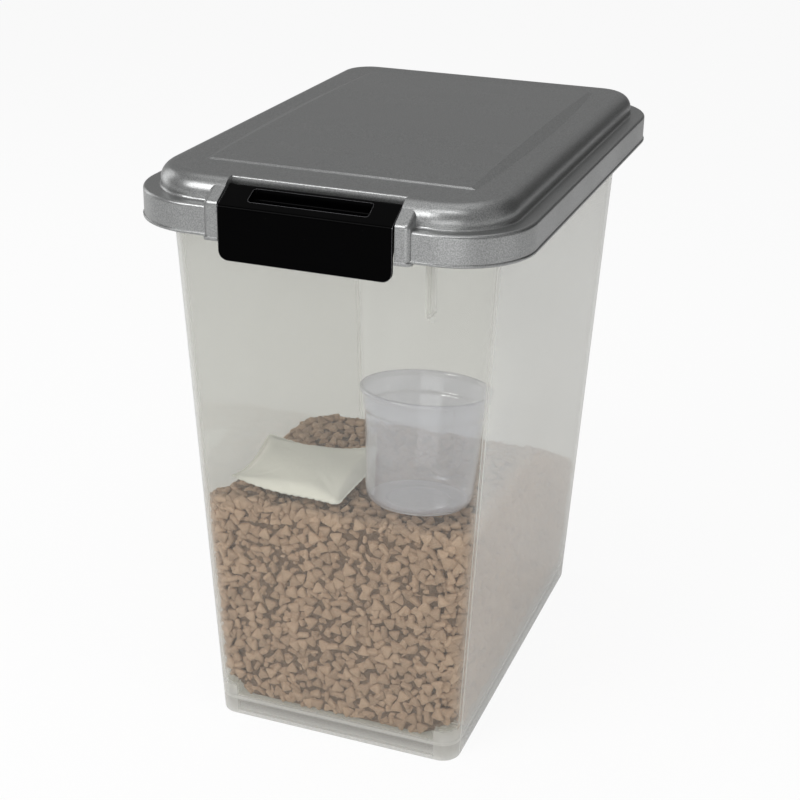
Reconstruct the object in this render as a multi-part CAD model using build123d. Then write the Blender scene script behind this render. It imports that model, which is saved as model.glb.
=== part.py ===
from build123d import *
import os
from math import asin, atan2, cos, degrees, hypot, radians, sin, tan

# A pet food storage container: a tapered translucent bin, a stepped lid hinged at the back,
# a flap latch at the front, and the fill, measuring cup and desiccant sachet inside.
# Millimetres. +Z is up, the latch faces -Y, and the origin is the middle of the footprint.

# Bin: outside sizes at the foot and at the mouth
bin_height = 440.0
base_width = 204.4
base_depth = 334.2
base_corner = 15.0
mouth_width = 247.0
mouth_depth = 385.6
mouth_corner = 28.0
bin_wall = 2.4

# Bin floor, raised on a foot, with a step in each corner
foot_height = 14.6
floor_thickness = 2.4
foot_land = 4.0
corner_step = 17.0
corner_step_height = 12.0
corner_step_round = 5.0

# Bin rim flange, a little below the rim, with a turned-down lip
flange_drop = 3.0
flange_thickness = 2.4
flange_side_reach = 16.0
flange_end_reach = 14.2
flange_corner = 48.0
lip_height = 5.6

# The one short rib that hangs below the flange, beside the latch
rib_corner_gap = 6.0
rib_thickness = 3.8
rib_length = 50.6
rib_setback = 2.6

# Seal between the bin's rim and the lid, and the two ribs that hold it
seal_gap = 0.2
seal_height = 4.4
seal_overhang = 0.8
seal_side_gap = 0.2
seal_rib = 2.0
seal_rib_height = 3.1

# Lid: it clears the flange all round, and its skirt ends in a bead
lid_wall = 2.4
lid_side_gap = 3.3
lid_end_gap = 5.8
lid_corner_gap = 4.8
skirt_height = 22.0
ledge_round = 2.4
bead_height = 2.2
bead_reach = 0.8
bead_round = 0.7
tier_inset = 13.4
tier_front_inset = 9.5
tier_back_inset = 23.0
tier_corner = 48.0
tier_back_corner = 30.0
tier_height = 16.5
shoulder_round = 12.0
riser_cove = 2.0

# Crowned panel on top of the lid, with sloped sides that fade out at its ends
panel_side_margin = 35.1
panel_front_margin = 46.5
panel_back_margin = 36.0
panel_sink = 1.0
panel_end_rise = 1.2
panel_crown = 2.2
panel_side_slope = 20.0
panel_end_slope = 45.0

# Latch recess in the lid, and the cheeks on its two sides
cheek_corner_gap = 14.5
notch_bite = 12.9
notch_lip_setback = 6.7
notch_edge_round = 1.1
cheek_width = 11.0
cheek_reach = 2.0
cheek_drop = 1.5
cheek_fold_rise = 3.8
cheek_crest_drop = 2.0
cheek_crest_run = 5.4
cheek_root = 3.0
cheek_round = 4.0
cheek_bead = 0.8

# Latch: a flap, and a top that slopes up to a barrel round its pin
latch_gap = 1.0
latch_reach = 3.5
latch_fold_rise = 2.3
latch_wall = 2.6
latch_height = 38.5
latch_corner = 7.0
latch_fold_round = 2.2
latch_barrel = 3.4
latch_web = 2.4
latch_web_depth = 8.0
latch_web_height = 21.3
latch_pin_setback = 5.0
latch_pin_rise = 9.0
latch_pin_radius = 1.5
latch_pin_grip = 7.5

# Clearance round each pin, on the radius
pin_held = 0.02
pin_running = 0.06

# Finger pocket in the latch's top, with a level floor
pocket_side_margin = 19.5
pocket_setback = 6.2
pocket_floor_rise = 0.8
pocket_wall = 1.4
pocket_pin_wall = 1.0
pocket_round = 2.4

# Catch on the back of the flap, which stops short of the bin's lip
catch_side_margin = 13.5
catch_gap = 0.8
catch_drop = 2.0
catch_height = 3.0
catch_root = 8.0

# Rear hinge, under the lid's skirt
hinge_corner_gap = 3.0
hinge_drop = 5.5
hinge_barrel = 4.5
hinge_pin_radius = 2.0
knuckle_width = 24.0
knuckle_arm = 4.5
ear_width = 8.0
ear_gap = 0.4
ear_root = 34.0
ear_lean = 30.0

# Fill: level from the front to its ridge, then falling to the back and to the left back corner
fill_gap = 0.3
fill_height = 187.0
ridge_y = 0.0
corner_ridge = 45.5
corner_turn = 40.7
repose_slope = 27.5

# Measuring cup, standing in the fill and leaning back
cup_height = 90.0
cup_wall = 1.3
cup_base_radius = 41.0
cup_base_round = 4.0
cup_shoulder_radius = 45.4
cup_shoulder_height = 72.0
cup_collar_step = 1.6
cup_rim_radius = 48.6
cup_rim_height = 2.6
cup_rim_reach = 1.2
cup_ring_radius = 26.0
cup_ring_height = 0.8
cup_lean = 5.0
cup_side_gap = 11.6
cup_front_gap = 6.7

# Desiccant sachet, a puffed pouch lying on the fill beside the cup
sachet_width = 95.0
sachet_depth = 88.0
sachet_height = 13.0
sachet_draw_in = 2.2
sachet_turn = 6.5
sachet_cup_gap = 5.8
sachet_front_gap = 6.4

# How far a cutting block runs past the face it cuts
past = 1.0

# Heights that follow from the sizes above
floor_top = foot_height + floor_thickness
fill_top = floor_top + fill_height
flange_top = bin_height - flange_drop
flange_bottom = flange_top - flange_thickness
lip_bottom = flange_bottom - lip_height
shelf_bottom = bin_height + seal_gap + seal_height
ledge_top = shelf_bottom + lid_wall
skirt_bottom = ledge_top - skirt_height
tier_top = ledge_top + tier_height
hinge_z = skirt_bottom - hinge_drop
latch_fold = ledge_top + latch_fold_rise
latch_pin_z = ledge_top + latch_pin_rise

# Plan sizes that follow, from the mouth outwards
flange_width = mouth_width + 2 * flange_side_reach
flange_depth = mouth_depth + 2 * flange_end_reach
under_width = flange_width + 2 * lid_side_gap
under_depth = flange_depth + 2 * lid_end_gap
under_corner = flange_corner + lid_corner_gap
skirt_width = under_width + 2 * lid_wall
skirt_depth = under_depth + 2 * lid_wall
skirt_corner = under_corner + lid_wall
lid_width = skirt_width + 2 * bead_reach
lid_depth = skirt_depth + 2 * bead_reach
lid_corner = skirt_corner + bead_reach
tier_width = lid_width - 2 * tier_inset
tier_front = lid_depth / 2 - tier_front_inset
tier_back = lid_depth / 2 - tier_back_inset
panel_width = tier_width - 2 * panel_side_margin
straight_half_width = lid_width / 2 - lid_corner
notch_half_width = straight_half_width - cheek_corner_gap - cheek_width
notch_back = tier_front - notch_bite
cheek_front = lid_depth / 2 + cheek_reach
latch_front = lid_depth / 2 + latch_reach
latch_half_width = notch_half_width - latch_gap
pocket_half_width = latch_half_width - pocket_side_margin
catch_half_width = latch_half_width - catch_side_margin
latch_pin_y = notch_back + latch_pin_setback
hinge_x = straight_half_width - hinge_corner_gap - knuckle_width / 2
hinge_y = latch_front - hinge_barrel
rib_x = straight_half_width - rib_corner_gap


def bin_size(z, inset=0.0):
    """The bin's width, depth and corner radius at a height, drawn in by an inset."""
    rise = z / bin_height
    width = base_width + (mouth_width - base_width) * rise
    depth = base_depth + (mouth_depth - base_depth) * rise
    corner = base_corner + (mouth_corner - base_corner) * rise
    return width - 2 * inset, depth - 2 * inset, corner - inset


def bin_taper(z_low, z_high, inset=0.0):
    """Tapered block between two heights of the bin, drawn in by an inset."""
    outlines = [Pos(0, 0, z) * RectangleRounded(*bin_size(z, inset)) for z in (z_low, z_high)]
    return loft(outlines, ruled=True)


def slab(width, depth, corner, z_low, z_high):
    """Upright block on a rounded rectangle."""
    return extrude(Pos(0, 0, z_low) * RectangleRounded(width, depth, corner), z_high - z_low)


def ring(width, depth, corner, thickness, z_low, z_high):
    """Upright rounded rectangular ring."""
    hole = slab(width - 2 * thickness, depth - 2 * thickness, corner - thickness, z_low, z_high)
    return slab(width, depth, corner, z_low, z_high) - hole


def yz_prism(points, x_low, x_high):
    """Prism along X on an outline of (y, z) points."""
    face = make_face(Polyline([(x_low, y, z) for y, z in points], close=True))
    return extrude(face, x_high - x_low, dir=(1, 0, 0))


def x_rod(radius, x_low, x_high, y, z):
    """Round rod along X."""
    return Pos((x_low + x_high) / 2, y, z) * Rot(0, 90, 0) * Cylinder(radius, x_high - x_low)


def front_box(half_width, y_high, z_low, z_high):
    """Box from a line across the lid out past its front."""
    box = Box(2 * half_width, lid_depth, z_high - z_low, align=(Align.CENTER, Align.MAX, Align.MIN))
    return Pos(0, y_high, z_low) * box


def corner_posts(reach, z_low, z_high):
    """A round-edged post over each corner of the foot."""
    post = extrude(RectangleRounded(2 * reach, 2 * reach, corner_step_round), z_high - z_low)
    corners = [(x * base_width / 2, y * base_depth / 2, z_low) for x in (-1, 1) for y in (-1, 1)]
    return Compound([Pos(*corner) * post for corner in corners])


def make_bin():
    """Bin with its floor, foot, corner steps, rim flange, rib and hinge ears, in one moulding."""
    above_rim = bin_height + past
    step_top = floor_top + corner_step_height
    step_under = step_top - floor_thickness
    inside = bin_taper(floor_top, above_rim, bin_wall) - corner_posts(corner_step, 0, step_top)
    foot_hollow = bin_taper(-past, foot_height, foot_land)
    step_hollows = bin_taper(-past, step_under, foot_land) & corner_posts(corner_step - bin_wall, -past, step_under)
    shell = bin_taper(0, bin_height) - inside - foot_hollow - step_hollows

    flange = slab(flange_width, flange_depth, flange_corner, flange_bottom, flange_top)
    lip = ring(flange_width, flange_depth, flange_corner, flange_thickness, lip_bottom, flange_bottom)
    core = bin_taper(floor_top, above_rim, bin_wall / 2)
    return shell + (flange - core) + lip + (rim_rib() - core) + (hinge_ears() - core)


def rim_rib():
    front = rib_setback - flange_depth / 2
    back = -base_depth / 2
    low = flange_bottom - rib_length
    outline = [(front, low), (front, flange_bottom), (back, flange_bottom), (back, low)]
    return yz_prism(outline, rib_x - rib_thickness / 2, rib_x + rib_thickness / 2)


def hinge_ears():
    """Two pairs of ears on the bin's back, each pair holding a pin."""
    root_y = base_depth / 2
    lean = radians(ear_lean)
    outline = [
        (root_y, flange_bottom),
        (flange_depth / 2 - flange_thickness, flange_bottom),
        (hinge_y - hinge_barrel, hinge_z + hinge_barrel),
        (hinge_y, hinge_z + hinge_barrel),
        (hinge_y + hinge_barrel * sin(lean), hinge_z - hinge_barrel * cos(lean)),
        (root_y, flange_bottom - ear_root),
    ]
    ears = []
    inner = knuckle_width / 2 + ear_gap
    for middle in (-hinge_x, hinge_x):
        for low in (middle - inner - ear_width, middle + inner):
            high = low + ear_width
            ear = yz_prism(outline, low, high) + x_rod(hinge_barrel, low, high, hinge_y, hinge_z)
            ears.append(ear - x_rod(hinge_pin_radius + pin_held, low - past, high + past, hinge_y, hinge_z))
    return Compound(ears)


def make_hinge_pins():
    half_length = knuckle_width / 2 + ear_gap + ear_width
    rods = [x_rod(hinge_pin_radius, x - half_length, x + half_length, hinge_y, hinge_z) for x in (-hinge_x, hinge_x)]
    return Compound(rods)


def make_kibble():
    """The fill as one heap."""
    far = bin_height
    fall = tan(radians(repose_slope))
    heap = bin_taper(floor_top + fill_gap, fill_top + past, bin_wall + fill_gap)
    for ridge, turn in ((ridge_y, 0), (corner_ridge, corner_turn)):
        outline = [(-far, 0), (-far, fill_top), (ridge, fill_top), (far, fill_top - (far - ridge) * fall), (far, 0)]
        heap = heap & Rot(0, 0, turn) * yz_prism(outline, -far, far)
    return heap - corner_posts(corner_step + fill_gap, 0, floor_top + corner_step_height + fill_gap)


def tier_slab(inset, z_low, z_high):
    """Upright block on the tier's outline, drawn in by an inset."""
    outline = Rectangle(tier_width - 2 * inset, tier_front + tier_back - 2 * inset)
    outline = fillet(outline.vertices().group_by(Axis.Y)[0], tier_corner - inset)
    outline = fillet(outline.vertices().group_by(Axis.Y)[-1], tier_back_corner - inset)
    return extrude(Pos(0, (tier_back - tier_front) / 2, z_low) * outline, z_high - z_low)


def panel_profile(lower):
    """Arched outline of the lid's panel in the YZ plane, lowered by a wall."""
    end_z = tier_top + panel_end_rise - lower
    root_z = tier_top - panel_sink - lower
    run = (end_z - root_z) / tan(radians(panel_end_slope))
    front, back = panel_front_margin - tier_front, tier_back - panel_back_margin
    arch = ThreePointArc((0, back, end_z), (0, (front + back) / 2, end_z + panel_crown), (0, front, end_z))
    foot = Polyline((0, front, end_z), (0, front - run, root_z), (0, back + run, root_z), (0, back, end_z))
    return make_face(Curve() + arch + foot)


def lid_panel():
    """Crowned panel; its sides run down one slope, so they are widest where the crown is highest."""
    profile = panel_profile(0)
    slope = radians(panel_side_slope)
    run = (panel_end_rise + panel_crown + panel_sink) / sin(slope)
    panel = Pos(-panel_width / 2, 0, 0) * extrude(profile, panel_width, dir=(1, 0, 0))
    for side in (-1, 1):
        fall = extrude(profile, run, dir=(side * cos(slope), 0, -sin(slope)))
        panel = panel + Pos(side * panel_width / 2, 0, 0) * fall
    return panel & slab(lid_width, lid_depth, lid_corner, tier_top - panel_sink, tier_top + skirt_height)


def cheek():
    """Solid buttress on the right of the latch, which holds one end of the latch's pin."""
    root_y = cheek_root - notch_back
    skirt_y = -under_depth / 2
    low = skirt_bottom - cheek_drop
    fold = ledge_top + cheek_fold_rise
    outline = [
        (-cheek_front, low),
        (-cheek_front, fold),
        (-notch_back - cheek_crest_run, tier_top - cheek_crest_drop),
        (root_y, tier_top),
        (root_y, shelf_bottom),
        (skirt_y, shelf_bottom),
        (skirt_y, low),
    ]
    outer_x = notch_half_width + cheek_width
    post = yz_prism(outline, notch_half_width, outer_x)
    front_edges = post.edges().filter_by(lambda edge: edge.center().Y < -lid_depth / 2)
    post = fillet(front_edges.filter_by(Axis.Z).sort_by(Axis.X)[-1], cheek_round)
    fold_edges = post.edges().filter_by(Axis.X).filter_by(lambda edge: abs(edge.center().Z - fold) < cheek_bead)
    post = fillet(fold_edges, cheek_round)
    bead = Box(cheek_width + cheek_bead, cheek_front + cheek_bead + skirt_y, bead_height, align=(Align.MIN,) * 3)
    bead = fillet(bead.edges().filter_by(Axis.Z).group_by(Axis.Y)[0].sort_by(Axis.X)[-1], cheek_round)
    return post + Pos(notch_half_width, -cheek_front - cheek_bead, low) * bead


def seal_ribs():
    """The two ribs under the lid that the seal sits between."""
    low = shelf_bottom - seal_rib_height
    grow = seal_overhang + seal_side_gap + seal_rib
    shrink = bin_wall + seal_overhang + seal_side_gap
    ribs = []
    for step in (grow, -shrink):
        ribs.append(
            ring(mouth_width + 2 * step, mouth_depth + 2 * step, mouth_corner + step, seal_rib, low, shelf_bottom)
        )
    return Compound(ribs)


def make_seal():
    grow = seal_overhang
    thickness = bin_wall + 2 * seal_overhang
    low = bin_height + seal_gap
    return ring(mouth_width + 2 * grow, mouth_depth + 2 * grow, mouth_corner + grow, thickness, low, shelf_bottom)


def hinge_knuckles():
    """Two lugs under the lid's rear skirt, each turning on a pin."""
    high_z = skirt_bottom + bead_height
    back = lid_depth / 2
    outline = [(back - knuckle_arm, hinge_z), (back - knuckle_arm, high_z), (back, high_z), (back, hinge_z)]
    lugs = []
    for middle in (-hinge_x, hinge_x):
        low, high = middle - knuckle_width / 2, middle + knuckle_width / 2
        lug = yz_prism(outline, low, high) + x_rod(hinge_barrel, low, high, hinge_y, hinge_z)
        lugs.append(lug - x_rod(hinge_pin_radius + pin_running, low - past, high + past, hinge_y, hinge_z))
    return Compound(lugs)


def make_lid():
    """Lid: skirt, ledge, raised tier and crowned panel, recessed in front for the latch."""
    skirt = slab(skirt_width, skirt_depth, skirt_corner, skirt_bottom, ledge_top)
    skirt = fillet(skirt.edges().group_by(Axis.Z)[-1], ledge_round)
    tier = tier_slab(0, shelf_bottom, tier_top)
    tier = fillet(tier.edges().group_by(Axis.Z)[-1], shoulder_round)
    outer = skirt + tier
    ledge_edges = outer.edges().filter_by_position(Axis.Z, ledge_top - cheek_bead, ledge_top + cheek_bead)
    foot_of_riser = ledge_edges.filter_by(
        lambda edge: edge.bounding_box().max.X < tier_width / 2 + cheek_bead
        and edge.bounding_box().min.X > -tier_width / 2 - cheek_bead
        and abs(edge.center().Z - ledge_top) < pin_held
    )
    outer = fillet(foot_of_riser, riser_cove)
    bead = slab(lid_width, lid_depth, lid_corner, skirt_bottom, skirt_bottom + bead_height)
    bead = fillet(bead.edges().group_by(Axis.Z)[0] + bead.edges().group_by(Axis.Z)[-1], bead_round)
    outer = outer + bead + lid_panel() + cheek() + mirror(cheek(), Plane.YZ)

    under_skirt = slab(under_width, under_depth, under_corner, skirt_bottom - past, shelf_bottom)
    rib_inset = bin_wall + seal_overhang + seal_side_gap + seal_rib
    shelf_hole = slab(
        mouth_width - 2 * rib_inset, mouth_depth - 2 * rib_inset, mouth_corner - rib_inset, shelf_bottom, ledge_top
    )
    dome = tier_slab(lid_wall, ledge_top, tier_top - lid_wall)
    dome = fillet(dome.edges().group_by(Axis.Z)[-1], shoulder_round - lid_wall)
    panel_hollow_width = panel_width - 2 * lid_wall
    panel_hollow = extrude(panel_profile(lid_wall), panel_hollow_width, dir=(1, 0, 0))
    dome = dome + Pos(-panel_hollow_width / 2, 0, 0) * panel_hollow
    kept_half_width = notch_half_width + cheek_width + lid_wall
    round_the_notch = front_box(kept_half_width, lid_wall - notch_back, shelf_bottom, tier_top + skirt_height)
    lid = outer - under_skirt - shelf_hole - (dome - round_the_notch)

    recess = front_box(notch_half_width, -notch_back, ledge_top, tier_top + skirt_height)
    lip_y = notch_lip_setback - skirt_depth / 2
    lid = lid - recess - front_box(notch_half_width, lip_y, skirt_bottom - skirt_height, ledge_top + past)
    brow = lid.edges().filter_by(Axis.X).filter_by_position(Axis.Y, -notch_back - pin_held, -notch_back + pin_held)
    lid = fillet(brow.sort_by(Axis.Z)[-1], notch_edge_round)
    lid = lid + seal_ribs() + hinge_knuckles()
    bore_half = notch_half_width + latch_pin_grip
    return lid - x_rod(latch_pin_radius + pin_held, -bore_half, bore_half, -latch_pin_y, latch_pin_z)


def make_latch():
    """Flap with a sloped top, a finger pocket in it, and a barrel that turns on the pin."""
    rise, run = latch_pin_z - latch_fold, latch_front - latch_pin_y
    slope = atan2(rise, run) + asin(latch_barrel / hypot(rise, run))
    out_y, out_z = -sin(slope), cos(slope)
    head_y = -latch_pin_y + latch_barrel * out_y
    head_z = latch_pin_z + latch_barrel * out_z
    under_y = head_y - latch_wall * out_y
    under_z = head_z - latch_wall * out_z
    back_y = latch_wall - latch_front
    inner_fold_z = under_z + (back_y - under_y) * tan(slope)
    bottom = latch_fold - latch_height
    section = [
        (head_y, head_z),
        (-latch_front, latch_fold),
        (-latch_front, bottom),
        (back_y, bottom),
        (back_y, inner_fold_z),
        (under_y, under_z),
    ]
    barrel = x_rod(latch_barrel, -latch_half_width, latch_half_width, -latch_pin_y, latch_pin_z)
    latch = yz_prism(section, -latch_half_width, latch_half_width) + barrel
    web_outline = [
        (back_y - past, inner_fold_z),
        (under_y, under_z),
        (back_y + latch_web_depth, inner_fold_z),
        (back_y, latch_fold - latch_web_height),
        (back_y - past, latch_fold - latch_web_height),
    ]
    web = yz_prism(web_outline, latch_half_width - latch_web, latch_half_width)
    latch = latch + web + mirror(web, Plane.YZ)

    pocket_front = pocket_setback - latch_front
    pocket_back = -latch_pin_y - latch_pin_radius - pin_running - pocket_pin_wall
    pocket_floor = latch_fold + pocket_floor_rise
    pocket_depth = pocket_back - pocket_front
    tray_outline = [
        (pocket_front - pocket_wall, pocket_floor - pocket_wall),
        (-latch_front, latch_fold),
        (head_y, head_z),
        (pocket_back + pocket_wall, latch_pin_z),
        (pocket_back + pocket_wall, pocket_floor - pocket_wall),
    ]
    tray_half_width = pocket_half_width + pocket_wall
    tray = yz_prism(tray_outline, -tray_half_width, tray_half_width)
    pocket = Box(2 * pocket_half_width, pocket_depth, latch_height, align=(Align.CENTER, Align.MIN, Align.MIN))
    pocket = fillet(pocket.edges().filter_by(Axis.Z), pocket_round)
    pocket = fillet(pocket.edges().group_by(Axis.Z)[0], pocket_wall)
    latch = latch + tray - Pos(0, pocket_front, pocket_floor) * pocket

    tip_y = -flange_depth / 2 - catch_gap
    catch_top = lip_bottom - catch_drop
    root_y = back_y - latch_wall / 2
    catch_outline = [
        (root_y, catch_top),
        (tip_y, catch_top),
        (tip_y, catch_top - catch_height),
        (root_y, catch_top - catch_root),
    ]
    latch = latch + yz_prism(catch_outline, -catch_half_width, catch_half_width)

    outline = Plane.XZ * Pos(0, latch_fold) * RectangleRounded(2 * latch_half_width, 2 * latch_height, latch_corner)
    flap_space = extrude(outline, latch_front + past, both=True)
    top_space = front_box(latch_half_width, 0, latch_fold, tier_top + skirt_height)
    latch = latch & (flap_space + top_space)
    bore = x_rod(latch_pin_radius + pin_running, -notch_half_width, notch_half_width, -latch_pin_y, latch_pin_z)
    latch = latch - bore
    fold_edge = latch.edges().filter_by(Axis.X).sort_by_distance((0, -latch_front, latch_fold))[0]
    return fillet(fold_edge, latch_fold_round)


def make_latch_pin():
    half_length = notch_half_width + latch_pin_grip
    return x_rod(latch_pin_radius, -half_length, half_length, -latch_pin_y, latch_pin_z)


def cup_place():
    """Middle of the cup's base, from its gaps to the bin's side and front."""
    width, depth, _ = bin_size(fill_top, bin_wall)
    x = width / 2 - cup_base_radius - cup_side_gap
    y = cup_base_radius + cup_front_gap - depth / 2
    sink = (cup_base_radius - cup_base_round) * sin(radians(cup_lean))
    return x, y, fill_top + fill_gap + sink


def make_cup():
    collar_radius = cup_shoulder_radius + cup_collar_step
    collar_height = cup_shoulder_height + cup_collar_step
    neck_radius = cup_rim_radius - cup_rim_reach
    outer = [
        (0, 0),
        (cup_base_radius - cup_base_round, 0),
        (cup_base_radius, cup_base_round),
        (cup_shoulder_radius, cup_shoulder_height),
        (collar_radius, collar_height),
        (neck_radius, cup_height - cup_rim_height),
        (cup_rim_radius, cup_height - cup_rim_height),
        (cup_rim_radius, cup_height),
    ]
    inner = [
        (neck_radius - cup_wall, cup_height),
        (collar_radius - cup_wall, collar_height),
        (cup_shoulder_radius - cup_wall, cup_shoulder_height),
        (cup_base_radius - cup_wall, cup_base_round),
        (cup_base_radius - cup_base_round, cup_wall),
        (cup_ring_radius, cup_wall),
        (cup_ring_radius, cup_wall + cup_ring_height),
        (cup_ring_radius - cup_wall, cup_wall + cup_ring_height),
        (cup_ring_radius - cup_wall, cup_wall),
        (0, cup_wall),
    ]
    section = make_face(Polyline([(radius, 0, z) for radius, z in outer + inner], close=True))
    return Pos(*cup_place()) * Rot(-cup_lean, 0, 0) * revolve(section, Axis.Z)


def pouch_outline(share, z):
    """Four-cornered outline with drawn-in sides, at a share of the sachet's size."""
    x, y, pull = (share * size for size in (sachet_width / 2, sachet_depth / 2, sachet_draw_in))
    corners = [(x, y, z), (-x, y, z), (-x, -y, z), (x, -y, z)]
    middles = [(0, y - pull, z), (pull - x, 0, z), (0, pull - y, z), (x - pull, 0, z)]
    sides = [ThreePointArc(corners[i], middles[i], corners[i - 3]) for i in range(4)]
    return make_face(Curve() + sides)


def make_sachet():
    """Pouch puffed up from a sealed seam; each pair is a share of its plan size and of its height."""
    rounds = [(0.62, 0.0), (0.88, 0.14), (1.0, 0.34), (0.9, 0.62), (0.7, 0.87), (0.36, 1.0)]
    pouch = loft([pouch_outline(share, rise * sachet_height) for share, rise in rounds], ruled=True)
    turn = radians(sachet_turn)
    half_width = sachet_width / 2 * cos(turn) + sachet_depth / 2 * sin(turn)
    half_depth = sachet_depth / 2 * cos(turn) + sachet_width / 2 * sin(turn)
    x = cup_place()[0] - cup_base_radius - sachet_cup_gap - half_width
    y = half_depth + sachet_front_gap - bin_size(fill_top, bin_wall)[1] / 2
    return Pos(x, y, fill_top + fill_gap) * Rot(0, 0, -sachet_turn) * pouch


nodes = {
    "bin": make_bin,
    "hinge_pins": make_hinge_pins,
    "kibble": make_kibble,
    "lid": make_lid,
    "lid_seal": make_seal,
    "latch_pin": make_latch_pin,
    "latch": make_latch,
    "measuring_cup": make_cup,
    "desiccant_sachet": make_sachet,
}

os.makedirs("parts", exist_ok=True)
for name, maker in nodes.items():
    export_step(maker(), f"parts/{name}.step")
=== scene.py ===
# %% [markdown]
# # A pet food storage container
# The container is built around a fixed CAD model, which this script loads first. Each cell adds
# one thing: a camera, the light, then the finish or the mesh of one piece. Blender works in
# metres here, with +Z up and the latch facing -Y.

# %% Load the CAD frame
import bpy
import bmesh
import math
import numpy as np
from mathutils import Matrix, Vector


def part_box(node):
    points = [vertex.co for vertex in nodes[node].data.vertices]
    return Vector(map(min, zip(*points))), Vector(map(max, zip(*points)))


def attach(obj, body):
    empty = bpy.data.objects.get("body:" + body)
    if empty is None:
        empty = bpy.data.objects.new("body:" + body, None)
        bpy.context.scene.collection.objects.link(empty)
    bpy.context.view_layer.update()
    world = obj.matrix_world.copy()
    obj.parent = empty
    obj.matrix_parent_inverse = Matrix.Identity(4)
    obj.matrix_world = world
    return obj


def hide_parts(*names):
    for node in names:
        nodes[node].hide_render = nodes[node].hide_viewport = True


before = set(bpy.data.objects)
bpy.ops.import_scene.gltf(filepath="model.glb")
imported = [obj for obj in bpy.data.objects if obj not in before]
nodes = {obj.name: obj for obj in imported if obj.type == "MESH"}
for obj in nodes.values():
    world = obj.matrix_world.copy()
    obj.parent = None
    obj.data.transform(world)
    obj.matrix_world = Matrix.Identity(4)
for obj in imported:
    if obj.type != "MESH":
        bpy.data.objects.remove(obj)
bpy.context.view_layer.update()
MM = 0.001

# %% [markdown]
# ## The camera
# A product photo is taken from a little above, with a long lens so that upright edges stay
# nearly parallel. A camera can be turned with angles or with its three axes. The axes are used
# here, because they were worked out together from the object's own edges.

# %% Camera at the photo's viewing angle
def in_scene(name, data):
    """Puts an object with this mesh, lamp or camera into the scene."""
    placed = bpy.data.objects.new(name, data)
    bpy.context.scene.collection.objects.link(placed)
    return placed


camera_place = Vector((0.4121, -1.1490, 0.7610))
camera_yaw, camera_pitch, camera_roll = (math.radians(a) for a in (20.15, 23.61, 1.01))

back = Vector((
    math.sin(camera_yaw) * math.cos(camera_pitch),
    -math.cos(camera_yaw) * math.cos(camera_pitch),
    math.sin(camera_pitch),
))
level_right = Vector((math.cos(camera_yaw), math.sin(camera_yaw), 0))
level_up = back.cross(level_right)
right = level_right * math.cos(camera_roll) + level_up * math.sin(camera_roll)
up = level_up * math.cos(camera_roll) - level_right * math.sin(camera_roll)

camera_data = bpy.data.cameras.new("camera")
camera_data.sensor_width = 36.0
camera_data.lens = 71.457
camera = in_scene("camera", camera_data)
turn = Matrix((right, up, back)).transposed().to_4x4()
camera.matrix_world = Matrix.Translation(camera_place) @ turn
bpy.context.scene.camera = camera
print("camera at", tuple(round(c, 3) for c in camera_place))

# %% [markdown]
# ## Small helpers for materials
# Every finish below is made of nodes, so that it has colour variation, roughness and bump at the
# real scale. Texture coordinates come from the object, in metres, so a noise scale of 1000 gives
# marks about a millimetre wide.

# %% Material helpers
def new_material(name):
    material = bpy.data.materials.new(name)
    material.use_nodes = True
    material.node_tree.nodes.clear()
    return material, material.node_tree


def add(tree, kind, **values):
    """Adds a node and sets its inputs; a node output as a value makes a link."""
    node = tree.nodes.new(kind)
    for key, value in values.items():
        if hasattr(node, key) and not key[0].isupper():
            setattr(node, key, value)
            continue
        numbered = key[0] == "i" and key[1:].isdigit()
        socket = node.inputs[int(key[1:]) if numbered else key.replace("_", " ")]
        if isinstance(value, bpy.types.NodeSocket):
            tree.links.new(value, socket)
        else:
            socket.default_value = value
    return node


def calc(tree, operation, *values, use_clamp=False):
    """Arithmetic on numbers or node outputs."""
    inputs = {f"i{number}": value for number, value in enumerate(values)}
    node = add(tree, "ShaderNodeMath", operation=operation, use_clamp=use_clamp, **inputs)
    return node.outputs[0]


def mix(tree, share, first, second):
    """Two shaders, with a share of the second."""
    return add(tree, "ShaderNodeMixShader", Fac=share, i1=first, i2=second).outputs[0]


def object_place(tree):
    """Texture coordinates on the object itself."""
    return add(tree, "ShaderNodeTexCoord").outputs["Object"]


def noise(tree, scale, detail=2.0, roughness=0.5, distortion=0.0, where=None):
    """Noise in object coordinates."""
    if where is None:
        where = object_place(tree)
    node = add(
        tree, "ShaderNodeTexNoise",
        Vector=where, Scale=scale, Detail=detail, Roughness=roughness, Distortion=distortion,
    )
    return node.outputs["Fac"]


def spread(tree, value, low, high, to_low, to_high, smooth=False):
    """Maps low..high onto to_low..to_high, evenly or with soft ends."""
    node = add(tree, "ShaderNodeMapRange", Value=value)
    node.interpolation_type = "SMOOTHSTEP" if smooth else "LINEAR"
    for key, number in (("From Min", low), ("From Max", high), ("To Min", to_low), ("To Max", to_high)):
        node.inputs[key].default_value = number
    return node.outputs["Result"]


def tone(tree, value, *stops):
    """Colour ramp from (position, colour) stops."""
    node = add(tree, "ShaderNodeValToRGB", Fac=value)
    ramp = node.color_ramp
    while len(ramp.elements) < len(stops):
        ramp.elements.new(0.5)
    for element, (position, colour) in zip(ramp.elements, stops):
        element.position = position
        element.color = (*colour, 1.0)
    return node.outputs["Color"]


def bump(tree, height, depth_mm, strength, normal=None):
    """Relief of a depth in millimetres, over another normal where one is given."""
    node = add(tree, "ShaderNodeBump", Height=height, Strength=strength, Distance=depth_mm * MM)
    if normal is not None:
        tree.links.new(normal, node.inputs["Normal"])
    return node.outputs["Normal"]


def finish_with(tree, shader):
    output = tree.nodes.new("ShaderNodeOutputMaterial")
    tree.links.new(shader, output.inputs["Surface"])


def dress(piece, material):
    piece.data.materials.clear()
    piece.data.materials.append(material)

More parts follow.
